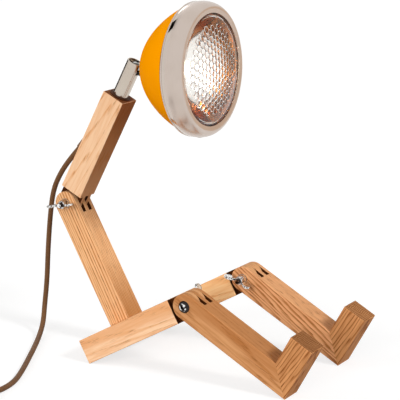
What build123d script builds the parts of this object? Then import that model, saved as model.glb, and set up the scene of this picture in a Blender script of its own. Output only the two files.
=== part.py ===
from build123d import *
import os
from math import cos, pi, radians, sin, sqrt, tan

# Desk lamp in the shape of a seated robot figure: ash blocks joined by comb
# hinges, a round headlamp on a steel neck tube, and a textile mains cord.
# Millimetres. +X is where the figure faces, +Y its left, +Z up. The origin is
# on the table, under the middle of the outline without the cord.

# ---------------------------------------------------------------- timber
TIMBER_W = 30.0  # width of every block, across the figure
TIMBER_T = 28.0  # its thickness, in the folding plane
HALF_T = TIMBER_T / 2
HALF_W = TIMBER_W / 2
EASE = 0.8  # rounding of the long edges
COMB = 5  # fingers and slots across one comb hinge
FINGER_W = TIMBER_W / COMB
SHOULDER = 16.5  # pivot axis to the square shoulder between the tongues
SLOT_DEPTH = 17.5  # pivot axis to the bottom of the slots
SIDE_GAP = 0.15  # free play on each side of a tongue
GLUE_GAP = 0.05  # round a dowel or a fixed shank
RUN_GAP = 0.05  # radial clearance of a turning fit

# ---------------------------------------------------------------- posture
REST_ANGLE = 29.0  # arms rise and shins fall by this much
SHIN_REACH = 146.0  # knee axis to sole
FOOT_LENGTH = 63.5  # underside of the shin to the toe end
LEG_SPACING = 132.0  # between the middles of the legs
TORSO_REACH = 149.0  # top of the arms to the waist axis
CHEST_REACH = 144.0  # waist axis to the neck end of the upper block
CHEST_LEAN = 27.0  # of the upper block, forward from upright
HEAD_RISE = 2.0  # of the headlamp's axis above level
CROSSBAR_L = 30.0  # of the crossbar, along the arms
KNEE_X = 30.36  # puts the middle of the outline over the origin

REST_SIN = sin(radians(REST_ANGLE))
REST_COS = cos(radians(REST_ANGLE))
# The arms rest on an eased edge, so they are longer by what the easing takes.
ARM_REACH = SHIN_REACH + EASE * (REST_COS + REST_SIN - 1) / REST_SIN
KNEE_Z = SHIN_REACH * REST_SIN + HALF_T * REST_COS
LEG_Y = LEG_SPACING / 2

# ---------------------------------------------------------------- fasteners
BOLT_R = 3.0
BOLT_L = 43.5
DOME_R = 6.8
DOME_H = 4.2
SOCKET_FLATS = 4.0  # hexagon socket in the bolt's head
SOCKET_DEPTH = 2.4
WASHER_R = 6.2
WASHER_T = 1.2
NUT_H = 8.5
NUT_BASE_R = 6.0
NUT_TOP_R = 4.6
WING_REACH = 12.4  # nut axis to the middle of a wing's lobe
WING_RISE = 10.6
WING_LOBE_R = 4.9
WING_ROOT_R = 3.2
WING_T = 2.6
WAIST_WING_TURN = 11.0
RIGHT_WING_TURN = -119.0
LEFT_WING_TURN = -18.0
DOWEL_R = 4.0
ARM_DOWEL_L = 40.0
ARM_DOWEL_SPREAD = 12.0
FOOT_DOWEL_R = 3.0
FOOT_DOWEL_L = 24.0
FOOT_DOWEL_SPREAD = 14.0
SCREW_R = 3.0
SCREW_L = 64.0
SCREW_HEAD_R = 6.0
SCREW_HEAD_H = 3.4
SCREW_SINK = 4.0  # recess of the screw head under the crossbar

# ---------------------------------------------------------------- neck
TUBE_R = 9.0
TUBE_WALL = 1.5
TUBE_OUT = 44.5  # tube above the block
TUBE_IN = 21.0  # tube inside the block
NECK_BORE_DEPTH = 22.5
BUSH_R = 10.6
BUSH_DEPTH = 18.0
BUSH_FLANGE_R = 12.0
BUSH_FLANGE_T = 1.2
RING_T = 1.2  # snap ring that holds the tube under its bush
RING_R = 10.2
RING_GROOVE_R = 8.4
PIN_RISE = 38.4  # block end to the tilt pin, along the tube
PIN_R = 2.0
PIN_L = 17.4
LUG_T = 6.0
LUG_H = 8.0
LUG_EYE_R = 5.2
LUG_FLANGE_R = 6.0
LUG_FLANGE_T = 3.0
TUBE_SLOT_W = 6.6
TUBE_SLOT_DROP = 6.4  # tilt pin to the bottom of the tube's slot

# ---------------------------------------------------------------- headlamp
# Distances along the lamp's own axis are measured from the tilt pin.
BOWL_TIP = 17.0
BOWL_MOUTH = 79.0
BOWL_RADIUS = 71.2
BOWL_WALL = 1.2
BOWL_POWER = 1.2  # a lower power gives a more pointed bowl
SEAT_R = 7.5  # flat at the bowl's tip
RIM_TAIL = 6.0  # rim of the bowl inside the bezel
OPENING_R = 61.3
BEAD_R = 1.0
LENS_EDGE_R = 64.6
LENS_T = 2.4
LENS_BULGE = 8.0
LENS_FRONT = 99.4  # front of the glass's flat edge
LIP_BACK = 99.5  # inside of the bezel's lip
GASKET_R = 66.4
GASKET_BACK = 95.0
REFLECTOR_WALL = 0.8
REFLECTOR_FLANGE = 6.0
REFLECTOR_HOLE_R = 12.0
REFLECTOR_HOLE_X = 52.0
REFLECTOR_MOUTH_R = 60.4
COLLAR_L = 6.0
HOLDER_L = 24.0
BULB_R = 8.5
BULB_L = 27.0
GROMMET_DROP = 10.7  # lamp's axis down to the lead's grommet
GROMMET_R = 3.3
GROMMET_FLANGE_R = 4.1
WIRE_R = 0.9
STUD_R = 3.0
STUD_L = 8.0
BEZEL_SCREW_X = 82.5
BEZEL_SCREW_SEAT = 73.85
CLIP_COUNT = 4
CLIP_SWEEP = 12.0

# ---------------------------------------------------------------- cord
CORD_R = 3.0
LEAD_R = 1.6
INNER_TOP = 16.0  # end of the cable in the tube, above the block
CABLE_BORE_R = 4.2
EXIT_ANGLE = 16.5  # of the cable's hole, to the back of the upper block
EXIT_DROP = 63.5  # neck end of the block to where the cable crosses its back
GLAND_L = 36.0
GLAND_R = 5.2
GLAND_TIP_R = 4.0
GLAND_OUT = 19.3  # gland's tip beyond the place where it crosses the back
COIL_R = 33.0  # middle of the coil's turns
COIL_ROWS = 2  # turns side by side
COIL_LAYERS = 3
TIE_T = 1.2
TIE_SWEEP = 15.0  # degrees of the ring under the tie
SWITCH_L = 62.0
SWITCH_W = 25.0
SWITCH_H = 16.0
SWITCH_AXIS_Z = 5.0  # cord's middle where it enters the switch
SWITCH_BASE_T = 6.0
ROCKER_L = 19.0
ROCKER_W = 11.0
ROCKER_TILT = 7.0
PLUG_W = 35.0
PLUG_T = 14.0
PLUG_L = 34.0
PLUG_PIN_R = 2.0
PLUG_PIN_L = 19.0
PLUG_PIN_SPREAD = 19.0
RELIEF_L = 22.0


def place(x, y, z, rise=0.0):
    """A place whose X axis rises by so many degrees in the folding plane."""
    return Location((x, y, z), (0, -rise, 0))


def bar_outline(start, end):
    """Side view of a block between two distances from its pivot."""
    return Pos((start + end) / 2, 0) * Rectangle(end - start, TIMBER_T)


def slab(outline, width):
    """An outline in the folding plane, made so wide across the figure."""
    return extrude(Plane.XZ * outline, width / 2, both=True)


def eased(block):
    """The block with the edges of its side faces and its +X end rounded."""
    by_side = block.edges().group_by(Axis.Y)
    far_end = block.edges().filter_by(Axis.Y).group_by(Axis.X)[-1]
    return fillet(by_side[0] + by_side[-1] + far_end, EASE)


def pivot_bore():
    return Cylinder(BOLT_R + RUN_GAP, TIMBER_W + 2, rotation=(90, 0, 0))


def fork_block(reach):
    """A block with three half-round fingers about its pivot, along +X."""
    block = eased(slab(bar_outline(0, reach) + Circle(HALF_T), TIMBER_W))
    slot = Box(SLOT_DEPTH + HALF_T, FINGER_W, TIMBER_T, align=(Align.MAX, Align.CENTER, Align.CENTER))
    for side in (-1, 1):
        block -= Pos(SLOT_DEPTH, side * FINGER_W, 0) * slot
    return block - pivot_bore()


def tongue_block(reach):
    """A block with two half-round tongues about its pivot, along +X."""
    block = eased(slab(bar_outline(SHOULDER, reach), TIMBER_W))
    tongue = slab(bar_outline(0, SHOULDER + 1) + Circle(HALF_T), FINGER_W - 2 * SIDE_GAP)
    for side in (-1, 1):
        block += Pos(0, side * FINGER_W, 0) * tongue
    return block - pivot_bore()


def rod(radius, length):
    """A round rod with lightly chamfered ends, along Z about the origin."""
    bar = Cylinder(radius, length)
    return chamfer(bar.edges().filter_by(GeomType.CIRCLE), radius * 0.15)


def bolt():
    """A domed bolt: the head below the origin, the shank along +Z."""
    shank = Cylinder(BOLT_R, BOLT_L, align=(Align.CENTER, Align.CENTER, Align.MIN))
    shank = chamfer(shank.edges().filter_by(GeomType.CIRCLE).sort_by(Axis.Z)[-1], 0.6)
    ball_r = (DOME_R**2 + DOME_H**2) / (2 * DOME_H)
    ball = Pos(0, 0, ball_r - DOME_H) * Sphere(ball_r)
    dome = ball & Cylinder(DOME_R + 1, DOME_H, align=(Align.CENTER, Align.CENTER, Align.MAX))
    socket = RegularPolygon(SOCKET_FLATS / 2, 6, major_radius=False)
    return shank + dome - Pos(0, 0, -DOME_H) * extrude(socket, SOCKET_DEPTH)


def washer():
    """A plain washer that stands on the origin."""
    ring = Circle(WASHER_R) - Circle(BOLT_R + 0.3)
    return extrude(ring, WASHER_T)


def wing_nut():
    """A wing nut that stands on the origin, its wings along X."""
    hub_line = Polyline((BOLT_R + RUN_GAP, 0), (NUT_BASE_R, 0), (NUT_BASE_R, 1.2), (NUT_TOP_R, NUT_H - 0.8))
    hub_top = Polyline((NUT_TOP_R, NUT_H - 0.8), (NUT_TOP_R - 0.6, NUT_H), (BOLT_R + RUN_GAP, NUT_H))
    bore_line = Line((BOLT_R + RUN_GAP, NUT_H), (BOLT_R + RUN_GAP, 0))
    nut = revolve(Plane.XZ * make_face(hub_line + hub_top + bore_line), Axis.Z)
    root = Pos(NUT_TOP_R, WING_ROOT_R + 1.0) * Circle(WING_ROOT_R)
    lobe = Pos(WING_REACH, WING_RISE) * Circle(WING_LOBE_R)
    wing = slab(make_hull(root.edges() + lobe.edges()), WING_T)
    rims = wing.edges().group_by(Axis.Y)
    wing = fillet(rims[0] + rims[-1], 0.6) - Cylinder(BOLT_R + 1.0, 60)
    for turn in (0, 180):
        nut += Rot(0, 0, turn) * wing
    return nut


parts = {}  # node name: solid, in the lamp's own frame


# ---------------------------------------------------------------- legs
def shin_and_foot():
    """Shin and foot block, glued at a mitre, with the shin along +X."""
    corner = TIMBER_T * 3
    mitre_cut = Polyline(
        (SHIN_REACH - TIMBER_T - corner, HALF_T + corner),
        (SHIN_REACH + corner, -HALF_T - corner),
        (SHIN_REACH + corner, HALF_T + corner),
        close=True,
    )
    beyond = slab(make_face(mitre_cut), TIMBER_W + 2)
    shin = fork_block(SHIN_REACH + EASE * 4) - beyond
    toe = FOOT_LENGTH - HALF_T
    side_view = Pos(SHIN_REACH - HALF_T, (toe - TIMBER_T) / 2) * Rectangle(TIMBER_T, toe + TIMBER_T)
    foot = eased(slab(side_view, TIMBER_W)) & beyond
    dowel = Rot(0, 45, 0) * rod(FOOT_DOWEL_R, FOOT_DOWEL_L)
    hole = Rot(0, 45, 0) * Cylinder(FOOT_DOWEL_R + GLUE_GAP, FOOT_DOWEL_L + 1)
    dowels = []
    for side in (-1, 1):
        spot = Pos(SHIN_REACH - HALF_T, side * FOOT_DOWEL_SPREAD / 2, 0)
        shin -= spot * hole
        foot -= spot * hole
        dowels.append(spot * dowel)
    return shin, foot, Compound(children=dowels)


KNEES = {"right": -1, "left": 1}
SHIN, FOOT, FOOT_DOWELS = shin_and_foot()
for name, side in KNEES.items():
    knee = place(KNEE_X, side * LEG_Y, KNEE_Z)
    leg = knee * place(0, 0, 0, -REST_ANGLE)
    parts[f"{name}_shin"] = leg * SHIN
    parts[f"{name}_foot"] = leg * FOOT
    parts[f"{name}_foot_dowels"] = leg * FOOT_DOWELS
    inward = Rot(0, 0, 90 + 90 * side)  # the nut is on the inner side
    turn = LEFT_WING_TURN if side > 0 else RIGHT_WING_TURN
    to_inside = Location((0, side * HALF_W, 0), (90 * side, 0, 0))
    parts[f"{name}_knee_bolt"] = knee * to_inside * bolt()
    parts[f"{name}_knee_washer"] = knee * to_inside * Pos(0, 0, TIMBER_W) * washer()
    nut_seat = Pos(0, 0, TIMBER_W + WASHER_T)
    parts[f"{name}_knee_wing_nut"] = knee * to_inside * nut_seat * Rot(0, 0, turn) * wing_nut()


# ---------------------------------------------------------------- pelvis
def pelvis():
    """Two arms and the crossbar behind them, along +X from the knee axis."""
    arm = tongue_block(ARM_REACH)
    bar_length = LEG_SPACING - TIMBER_W
    bar_x = ARM_REACH - CROSSBAR_L / 2
    crossbar = Pos(bar_x, 0, 0) * Box(CROSSBAR_L, bar_length, TIMBER_T)
    long_edges = crossbar.edges().filter_by(Axis.Y)
    crossbar = fillet(long_edges, EASE)
    hole = Cylinder(DOWEL_R + GLUE_GAP, ARM_DOWEL_L + 1, rotation=(90, 0, 0))
    pin = Rot(90, 0, 0) * rod(DOWEL_R, ARM_DOWEL_L)
    arms, dowels = {}, []
    for name, side in KNEES.items():
        arms[name] = Pos(0, side * LEG_Y, 0) * arm
        for step in (-1, 1):
            spot = Pos(bar_x + step * ARM_DOWEL_SPREAD / 2, side * bar_length / 2, 0)
            arms[name] -= spot * hole
            crossbar -= spot * hole
            dowels.append(spot * pin)
    return arms, crossbar, Compound(children=dowels)


ARMS_FRAME = place(KNEE_X, 0, KNEE_Z, 180 + REST_ANGLE)
TORSO_FOOT_X = ARM_REACH - HALF_T  # torso's middle, along the arms
# The waist axis, seen from the knee axis: back along the arms, then square up.
WAIST_X = KNEE_X - TORSO_FOOT_X * REST_COS - (HALF_T + TORSO_REACH) * REST_SIN
WAIST_Z = KNEE_Z - TORSO_FOOT_X * REST_SIN + (HALF_T + TORSO_REACH) * REST_COS
TORSO_FRAME = place(WAIST_X, 0, WAIST_Z, REST_ANGLE - 90)
CHEST_FRAME = place(WAIST_X, 0, WAIST_Z, 90 - CHEST_LEAN)


def torso_screw():
    """A countersunk wood screw along -X, its head's top at the origin."""
    outline = Polyline(
        (0, 0),
        (SCREW_HEAD_R, 0),
        (SCREW_R, SCREW_HEAD_H),
        (SCREW_R, SCREW_L - 6),
        (0, SCREW_L),
        close=True,
    )
    return Rot(0, -90, 0) * revolve(Plane.XZ * make_face(outline), Axis.Z)


arms, crossbar, arm_dowels = pelvis()
torso = fork_block(TORSO_REACH)
screw_seat = TORSO_REACH + TIMBER_T - SCREW_SINK  # along the torso, from the waist
hole_start = screw_seat - SCREW_L - 1
screw_hole = Pos(hole_start, 0, 0) * Rot(0, 90, 0) * Cylinder(
    SCREW_R + GLUE_GAP, 2 * SCREW_L, align=(Align.CENTER, Align.CENTER, Align.MIN)
)
head_well = Cylinder(SCREW_HEAD_R + 0.4, 2 * (SCREW_HEAD_H + SCREW_SINK), rotation=(0, 90, 0))
head_well = Pos(TORSO_REACH + TIMBER_T, 0, 0) * head_well
torso_in_frame = TORSO_FRAME * (torso - screw_hole)
crossbar_in_frame = ARMS_FRAME * crossbar - TORSO_FRAME * (screw_hole + head_well)
for name in KNEES:
    parts[f"{name}_hip_arm"] = ARMS_FRAME * arms[name]
parts["pelvis_crossbar"] = crossbar_in_frame
parts["pelvis_dowels"] = ARMS_FRAME * arm_dowels
parts["lower_torso_block"] = torso_in_frame
parts["torso_screw"] = TORSO_FRAME * Pos(screw_seat, 0, 0) * torso_screw()

waist = place(WAIST_X, 0, WAIST_Z)
to_right = Location((0, HALF_W, 0), (90, 0, 0))
parts["waist_bolt"] = waist * to_right * bolt()
parts["waist_washer"] = waist * to_right * Pos(0, 0, TIMBER_W) * washer()
waist_nut_seat = Pos(0, 0, TIMBER_W + WASHER_T) * Rot(0, 0, WAIST_WING_TURN)
parts["waist_wing_nut"] = waist * to_right * waist_nut_seat * wing_nut()


# ---------------------------------------------------------------- neck
def in_chest(drop, back=0.0):
    """A place in the upper block's frame, so far below its neck end."""
    return Pos(CHEST_REACH - drop, 0, back) * Rot(0, 90, 0)


BEND_DROP = EXIT_DROP - HALF_T / tan(radians(EXIT_ANGLE))
CROSSING = HALF_T / sin(radians(EXIT_ANGLE))  # bend to the block's back, along the cable
GLAND_END = CROSSING + GLAND_OUT


def along_exit(start, end, radius):
    """A cylinder on the cable's oblique hole, between two distances."""
    hole = Cylinder(radius, end - start, align=(Align.CENTER, Align.CENTER, Align.MIN))
    return Pos(CHEST_REACH - BEND_DROP, 0, 0) * Rot(0, EXIT_ANGLE - 90, 0) * Pos(0, 0, start) * hole


def chest_block():
    block = tongue_block(CHEST_REACH)
    block -= in_chest(NECK_BORE_DEPTH / 2) * Cylinder(BUSH_R, NECK_BORE_DEPTH)
    block -= along_exit(0, GLAND_END, CABLE_BORE_R)
    block -= along_exit(GLAND_END - GLAND_L, GLAND_END + 40, GLAND_R + GLUE_GAP)
    return block


def gland():
    """Tapered strain relief on the cable, its root in the block."""
    root = GLAND_L - GLAND_OUT - 2
    outline = Polyline(
        (0, 0),
        (GLAND_R, 0),
        (GLAND_R, root),
        (GLAND_TIP_R, GLAND_L),
        (0, GLAND_L),
        close=True,
    )
    taper = revolve(Plane.XZ * make_face(outline), Axis.Z)
    start = GLAND_END - GLAND_L
    return Pos(CHEST_REACH - BEND_DROP, 0, 0) * Rot(0, EXIT_ANGLE - 90, 0) * Pos(0, 0, start) * taper


def neck_bush():
    sleeve = Cylinder(BUSH_R, BUSH_DEPTH, align=(Align.CENTER, Align.CENTER, Align.MAX))
    flange = Cylinder(BUSH_FLANGE_R, BUSH_FLANGE_T, align=(Align.CENTER, Align.CENTER, Align.MIN))
    flange = fillet(flange.edges().filter_by(GeomType.CIRCLE).sort_by(Axis.Z)[-1], 0.7)
    bush = sleeve + flange - Cylinder(TUBE_R + RUN_GAP, 4 * BUSH_DEPTH)
    return in_chest(0) * bush


def neck_tube():
    """Steel tube with a snap-ring groove below and a slot above, at the front."""
    barrel = Pos(0, 0, -TUBE_IN) * Cylinder(
        TUBE_R, TUBE_IN + TUBE_OUT, align=(Align.CENTER, Align.CENTER, Align.MIN)
    )
    barrel -= Cylinder(TUBE_R - TUBE_WALL, 4 * TUBE_OUT)
    rim = barrel.edges().filter_by(GeomType.CIRCLE).group_by(Axis.Z)[-1]
    barrel = fillet(rim, 0.5)
    groove = Cylinder(TUBE_R + 1, RING_T + 0.1) - Cylinder(RING_GROOVE_R, RING_T + 0.1)
    barrel -= Pos(0, 0, -BUSH_DEPTH - 0.1 - RING_T / 2) * groove
    slot_height = TUBE_OUT - PIN_RISE + TUBE_SLOT_DROP + 1
    slot = Box(2 * TUBE_R, TUBE_SLOT_W, slot_height, align=(Align.MIN, Align.CENTER, Align.MIN))
    barrel -= Pos(0, 0, PIN_RISE - TUBE_SLOT_DROP) * slot
    barrel -= Pos(0, 0, PIN_RISE) * Cylinder(PIN_R, 4 * TUBE_R, rotation=(90, 0, 0))
    return Pos(CHEST_REACH, 0, 0) * Rot(0, 90, 0) * barrel


def neck_ring():
    """Snap ring in the tube's groove, open for a sixth of its turn."""
    ring = Cylinder(RING_R, RING_T) - Cylinder(RING_GROOVE_R + 0.02, RING_T + 1)
    ring -= Box(2 * RING_R, RING_R, RING_T + 1, align=(Align.MIN, Align.CENTER, Align.CENTER))
    return in_chest(BUSH_DEPTH + 0.1 + RING_T / 2) * ring


PIN_X = WAIST_X + (CHEST_REACH + PIN_RISE) * sin(radians(CHEST_LEAN))
PIN_Z = WAIST_Z + (CHEST_REACH + PIN_RISE) * cos(radians(CHEST_LEAN))
HEAD_FRAME = place(PIN_X, 0, PIN_Z, HEAD_RISE)


def tilt_lug():
    """Flat lug about the pin, with a flange and a threaded stud in front."""
    seat = bowl_point(SEAT_R)[0]
    side_view = Circle(LUG_EYE_R) + Pos(seat / 2, 0) * Rectangle(seat, LUG_H)
    side_view -= Circle(PIN_R + RUN_GAP)
    lug = slab(side_view, LUG_T)
    flange = Cylinder(LUG_FLANGE_R, LUG_FLANGE_T, rotation=(0, 90, 0))
    stud = Cylinder(STUD_R, STUD_L, rotation=(0, 90, 0))
    return lug + Pos(seat - LUG_FLANGE_T / 2, 0, 0) * flange + Pos(seat + STUD_L / 2, 0, 0) * stud


def lug_nut():
    """Washer and hexagon nut on the stud, inside the bowl."""
    back = bowl_point(SEAT_R, BOWL_WALL)[0]
    plate = extrude(Plane.YZ * (Circle(6.2) - Circle(STUD_R + GLUE_GAP)), 1.2)
    nut = extrude(Plane.YZ * (RegularPolygon(5.7, 6) - Circle(STUD_R + GLUE_GAP)), 4.5)
    return Pos(back, 0, 0) * plate + Pos(back + 1.2, 0, 0) * nut


# ---------------------------------------------------------------- headlamp
def bowl_point(radius, inset=0.0):
    """The place on the bowl's wall that lies so far from the lamp's axis."""
    sine = radius / (BOWL_RADIUS - inset)
    depth = (BOWL_MOUTH - BOWL_TIP - inset) * sqrt(max(0.0, 1 - sine * sine)) ** (2 / BOWL_POWER)
    return BOWL_MOUTH - depth, radius


def bowl_curve(inset):
    """The bowl's side view, from the flat at its tip to its mouth."""
    mouth = BOWL_RADIUS - inset
    steps = 18
    points = [bowl_point(SEAT_R, inset)]
    for step in range(1, steps):
        share = 1 - (1 - step / steps) ** 1.6
        points.append(bowl_point(SEAT_R + (mouth - SEAT_R) * share, inset))
    points.append(bowl_point(mouth, inset))
    beside = bowl_point(SEAT_R + 0.1, inset)
    slope = (beside[0] - points[0][0], beside[1] - points[0][1])
    return Spline(*points, tangents=(slope, (1, 0)))


def head_shell():
    outer, inner = bowl_curve(0), bowl_curve(BOWL_WALL)
    tail = BOWL_MOUTH + RIM_TAIL
    rim = Polyline(outer @ 1, (tail, BOWL_RADIUS), (tail, BOWL_RADIUS - BOWL_WALL), inner @ 1)
    tip = Polyline(inner @ 0, ((inner @ 0).X, 0), ((outer @ 0).X, 0), outer @ 0)
    shell = revolve(make_face(outer + rim + inner + tip), Axis.X)
    shell -= Pos(BOWL_TIP, 0, 0) * Cylinder(STUD_R + GLUE_GAP, 12, rotation=(0, 90, 0))
    shell -= Pos(BOWL_TIP, 0, -GROMMET_DROP) * Cylinder(GROMMET_R, 12, rotation=(0, 90, 0))
    return shell - Pos(BEZEL_SCREW_X, 0, -BOWL_RADIUS) * Cylinder(1.5, 12)


def bezel_ring():
    """Spun ring with a beaded back edge and a lip that holds the glass."""
    outer = Spline((78.6, 72.6), (82.5, 73.5), (88.5, 73.9), (96.0, 72.3), (100.2, 69.0), (101.2, 66.0))
    lip = Polyline((101.2, 66.0), (100.5, OPENING_R), (LIP_BACK, OPENING_R), (LIP_BACK, GASKET_R))
    inner = Spline((LIP_BACK, GASKET_R), (98.8, 68.4), (95.2, 71.2), (88.5, 72.9), (82.5, 72.5), (78.6, 71.8))
    side_view = make_face(outer + lip + inner + Line((78.6, 71.8), (78.6, 72.6)))
    bead = Pos(78.6, 72.5) * Circle(BEAD_R)
    ring = revolve(side_view, Axis.X) + revolve(bead, Axis.X)
    return ring - Pos(BEZEL_SCREW_X, 0, -BOWL_RADIUS) * Cylinder(1.6, 12)


def bezel_screw():
    """Small screw through bezel and rim, under the lamp."""
    shank = Cylinder(1.5, 6, align=(Align.CENTER, Align.CENTER, Align.MIN))
    head = Cylinder(2.6, 1.4, align=(Align.CENTER, Align.CENTER, Align.MAX))
    head = fillet(head.edges().filter_by(GeomType.CIRCLE).sort_by(Axis.Z)[0], 0.8)
    return Pos(BEZEL_SCREW_X, 0, -BEZEL_SCREW_SEAT) * (shank + head)


def lens():
    """Bulging glass of even thickness with a flat edge."""
    ball_r = (OPENING_R**2 + LENS_BULGE**2) / (2 * LENS_BULGE)
    front = Pos(LENS_FRONT + LENS_BULGE - ball_r, 0, 0) * Sphere(ball_r)
    disc = round_bar(LENS_FRONT - LENS_T, LENS_FRONT + LENS_BULGE, OPENING_R)
    edge = round_bar(LENS_FRONT - LENS_T, LENS_FRONT, LENS_EDGE_R)
    return (front & disc) + edge - Pos(-LENS_T, 0, 0) * front


def lens_gasket():
    """Rubber ring of L section round the glass's edge."""
    outline = Polyline(
        (GASKET_BACK, LENS_EDGE_R - 2.2),
        (LENS_FRONT - LENS_T, LENS_EDGE_R - 2.2),
        (LENS_FRONT - LENS_T, LENS_EDGE_R),
        (LIP_BACK, LENS_EDGE_R),
        (LIP_BACK, GASKET_R),
        (GASKET_BACK, GASKET_R),
        close=True,
    )
    return revolve(make_face(outline), Axis.X)


def reflector():
    """Paraboloid with a mounting flange in front and a collar behind."""
    mouth_x = GASKET_BACK - REFLECTOR_WALL
    reach = mouth_x - REFLECTOR_HOLE_X
    spread = (REFLECTOR_MOUTH_R**2 - REFLECTOR_HOLE_R**2) / reach
    front = []
    for share in (0.0, 0.08, 0.25, 0.5, 0.75, 1.0):
        x = REFLECTOR_HOLE_X + reach * share
        front.append((x, sqrt(REFLECTOR_HOLE_R**2 + spread * reach * share)))
    back = [(x - REFLECTOR_WALL, r + REFLECTOR_WALL * 0.6) for x, r in front]
    inner = Spline(*front)
    outer = Spline(*reversed(back))
    flange_r = REFLECTOR_MOUTH_R + REFLECTOR_FLANGE
    flange = Polyline(
        front[-1], (GASKET_BACK, REFLECTOR_MOUTH_R), (GASKET_BACK, flange_r), (mouth_x - 0.8, flange_r), back[-1]
    )
    collar_x = REFLECTOR_HOLE_X - COLLAR_L
    collar = Polyline(
        back[0], (collar_x, back[0][1]), (collar_x, REFLECTOR_HOLE_R), front[0]
    )
    return revolve(make_face(inner + flange + outer + collar), Axis.X)


def bezel_clips():
    """Spring clips that press the reflector's flange to the glass."""
    back = GASKET_BACK - 2 * REFLECTOR_WALL
    outline = Polyline(
        (back, REFLECTOR_MOUTH_R + 3),
        (back, BOWL_RADIUS),
        (back - 6, BOWL_RADIUS),
        (back - 6, BOWL_RADIUS - 0.8),
        (back - 0.8, BOWL_RADIUS - 0.8),
        (back - 0.8, REFLECTOR_MOUTH_R + 3),
        close=True,
    )
    clip = revolve(make_face(outline), Axis.X, CLIP_SWEEP)
    turns = [45 - CLIP_SWEEP / 2 + 360 / CLIP_COUNT * number for number in range(CLIP_COUNT)]
    return Compound(children=[Rot(turn, 0, 0) * clip for turn in turns])


def round_bar(start, end, radius):
    """A cylinder on the lamp's axis between two distances from the pin."""
    return Pos((start + end) / 2, 0, 0) * Cylinder(radius, end - start, rotation=(0, 90, 0))


HOLDER_BACK = REFLECTOR_HOLE_X - HOLDER_L


def lamp_holder():
    body = round_bar(HOLDER_BACK, REFLECTOR_HOLE_X, REFLECTOR_HOLE_R - GLUE_GAP)
    return chamfer(body.edges().filter_by(GeomType.CIRCLE), 0.6)


def led_bulb():
    """Small retrofit bulb: a cap in the holder and a domed body."""
    start = REFLECTOR_HOLE_X
    bulb = round_bar(start, start + 4, BULB_R * 0.7) + round_bar(start + 4, start + BULB_L - BULB_R, BULB_R)
    return bulb + Pos(start + BULB_L - BULB_R, 0, 0) * Sphere(BULB_R)


def head_grommet():
    face = bowl_point(SEAT_R)[0]
    back = face + BOWL_WALL + 1.0
    grommet = round_bar(face - 1.2, back, GROMMET_R) + round_bar(face - 1.2, face, GROMMET_FLANGE_R)
    return Pos(0, 0, -GROMMET_DROP) * grommet


def holder_wires():
    """Two insulated wires from the grommet to the back of the holder."""
    wires = []
    start_x = bowl_point(SEAT_R)[0] + BOWL_WALL + 1.0
    for side in (-1, 1):
        route = [
            (start_x, side * 1.2, -GROMMET_DROP),
            (start_x + 3, side * 1.2, -GROMMET_DROP),
            (HOLDER_BACK - 3, side * 4, -6),
            (HOLDER_BACK, side * 4, -6),
        ]
        wires.append(tube(route, WIRE_R))
    return Compound(children=wires)


# ---------------------------------------------------------------- cord
def turns_and_radii(route):
    """The radius of the arc at each inner point of a route."""
    radii = []
    for before, here, after in zip(route, route[1:], route[2:]):
        first = Vector(*here) - Vector(*before)
        second = Vector(*after) - Vector(*here)
        turn = radians(first.get_angle(second))
        radii.append(0.45 * min(first.length, second.length) / tan(turn / 2))
    return radii


def route_line(route):
    return FilletPolyline(*route, radius=turns_and_radii(route))


def tube(route, radius):
    """A round cord of straight runs and tangent arcs."""
    line = route_line(route)
    start = Plane(origin=line @ 0, z_dir=line % 0)
    return sweep(start * Circle(radius), path=line)


def on_chest(drop, back):
    """A point of the middle plane, seen from the upper block's neck end."""
    lean = radians(CHEST_LEAN)
    reach = CHEST_REACH - drop
    x = WAIST_X + reach * sin(lean) - back * cos(lean)
    z = WAIST_Z + reach * cos(lean) + back * sin(lean)
    return x, 0.0, z


def on_exit(distance):
    """A point on the cable's oblique line, from its bend."""
    slope = radians(EXIT_ANGLE)
    return on_chest(BEND_DROP + distance * cos(slope), distance * sin(slope))


CORD_EXIT = on_exit(GLAND_END)
INNER_ROUTE = [on_chest(-INNER_TOP, 0), on_exit(0), on_exit(GLAND_END - GLAND_L)]
GROMMET_FACE = bowl_point(SEAT_R)[0] - 1.2
LEAD_ROUTE = [
    on_chest(-INNER_TOP, 0),
    on_chest(5.6 - PIN_RISE, 0),
    tuple((HEAD_FRAME * Pos(GROMMET_FACE - 4, 0, -GROMMET_DROP)).position),
    tuple((HEAD_FRAME * Pos(GROMMET_FACE, 0, -GROMMET_DROP)).position),
]

# From the gland down to the table and along it to the switch. The hanging
# part ends in the middle of an upright run.
HANGING = [
    CORD_EXIT,
    on_exit(GLAND_END + 16),
    (-180.1, 0, 194.5),
    (-191.6, 0, 172.0),
    (-196.4, 0, 140.0),
    (-200.1, 0, 100.0),
]
LYING = [
    (-202.1, 0, 63.0),
    (-205.6, -1, 30.5),
    (-201.6, -10, 13.1),
    (-196.0, -25.5, CORD_R),
    (-175.3, -65.0, CORD_R),
    (-155.6, -105.0, CORD_R),
    (-137.6, -142.0, CORD_R),
    (-121.6, -179.0, CORD_R),
    (-117.5, -204.0, CORD_R),
]
SWITCH_IN = (-118.6, -246.0)
SWITCH_HEADING = -96.85  # degrees from +X
COIL_X, COIL_Y = -169.6, -353.0
PLUG_X, PLUG_Y = -204.6, -289.0  # tip of the plug's strain relief


def along_switch(distance):
    """A point on the switch's cord line, from the end that faces the lamp."""
    heading = radians(SWITCH_HEADING)
    x, y = SWITCH_IN
    return x + distance * cos(heading), y + distance * sin(heading), SWITCH_AXIS_Z


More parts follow.
